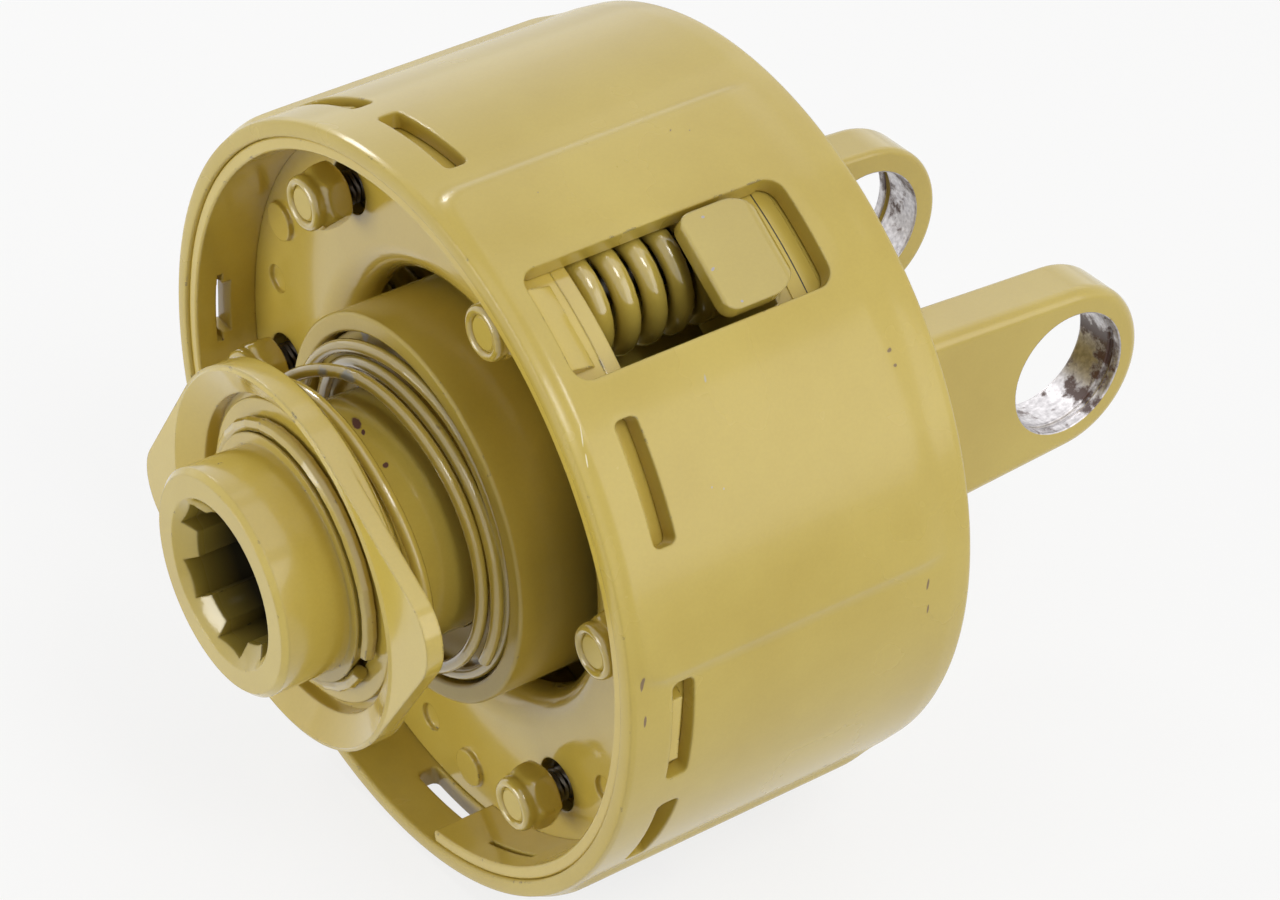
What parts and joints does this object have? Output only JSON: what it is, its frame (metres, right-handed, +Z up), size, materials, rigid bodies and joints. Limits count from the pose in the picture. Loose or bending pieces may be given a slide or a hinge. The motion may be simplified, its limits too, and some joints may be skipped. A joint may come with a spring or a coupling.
{
  "type": "torque limiter",
  "caption": "Farm driveline torque limiter: splined hub with a pull collar and an overrunning ring, sprung friction pack in a slotted drum, and the fork of a universal joint.",
  "frame": {"origin": "centre of the hub's nose face, on the shaft axis", "axes": "+X along the shaft axis from the nose to the fork, +Z up, the fork's cross bore runs along Y"},
  "size_m": [0.215, 0.1796, 0.177],
  "materials": {
    "hub_paint": "glossy sprayed paint with small chips",
    "ring_wire_paint": "glossy sprayed paint with small chips",
    "washer_paint": "glossy sprayed paint with small chips",
    "collar_paint": "glossy sprayed paint with small chips",
    "ring_paint": "glossy sprayed paint with small chips",
    "drum_paint": "glossy sprayed paint with small chips",
    "band_paint": "glossy sprayed paint with small chips",
    "plate_paint": "glossy sprayed paint with small chips",
    "tab_paint": "glossy sprayed paint with small chips",
    "fork_paint": "glossy sprayed paint with small chips",
    "rivet_paint": "glossy sprayed paint with small chips",
    "spring_paint": "glossy sprayed paint with small chips",
    "clutch_spring_paint": "glossy sprayed paint with small chips",
    "nut_paint": "glossy sprayed paint with small chips",
    "bearing_steel": "ground, oiled",
    "inner_steel": "rolled, oiled",
    "stud_steel": "dark rolled thread with paint on the free end",
    "friction_lining": "moulded lining, dull",
    "bush_bronze": "sintered, oiled"
  },
  "bodies": {
    "hub": {"spline_hub": "hub_paint", "hub_snap_ring": "ring_wire_paint", "collar_washer": "washer_paint", "lock_balls": "bearing_steel", "collar_spring": "spring_paint", "spring_seat_washer": "inner_steel", "freewheel_keys": "bearing_steel", "key_springs": "inner_steel"},
    "collar": {"lock_collar": "collar_paint"},
    "ring": {"freewheel_ring": "ring_paint", "ring_circlip": "inner_steel", "side_washer": "inner_steel", "drive_plate": "inner_steel", "thrust_washer": "bush_bronze", "end_washer": "washer_paint", "end_circlip": "inner_steel"},
    "drum": {"drum_housing": "drum_paint", "retaining_band": "band_paint", "front_plate": "plate_paint", "friction_disc_front": "friction_lining", "friction_disc_rear": "friction_lining", "floor_ring": "inner_steel", "clutch_springs": "clutch_spring_paint", "yoke": "fork_paint", "fork_rivets": "rivet_paint", "rear_bush": "bush_bronze"},
    "pressure": {"pressure_plate": "tab_paint", "studs": "stud_steel", "lock_nuts": "nut_paint"}
  },
  "joints": [
    {"name": "collar_slide", "type": "slide", "parent": "hub", "child": "collar", "axis": [1, 0, 0], "range_m": [0, 0.008], "stiffness_N_per_m": 2500, "springref_m": -0.008, "deforming": ["collar_spring"]},
    {"name": "overrun", "type": "hinge", "parent": "hub", "child": "ring", "pos_m": [0.08, 0, 0], "axis": [1, 0, 0], "continuous": true},
    {"name": "slip", "type": "hinge", "parent": "ring", "child": "drum", "pos_m": [0.11, 0, 0], "axis": [1, 0, 0], "continuous": true},
    {"name": "pressure_slide", "type": "slide", "parent": "drum", "child": "pressure", "axis": [-1, 0, 0], "range_m": [0, 0.0012], "stiffness_N_per_m": 60000, "springref_m": -0.005, "deforming": ["clutch_springs"]}
  ]
}
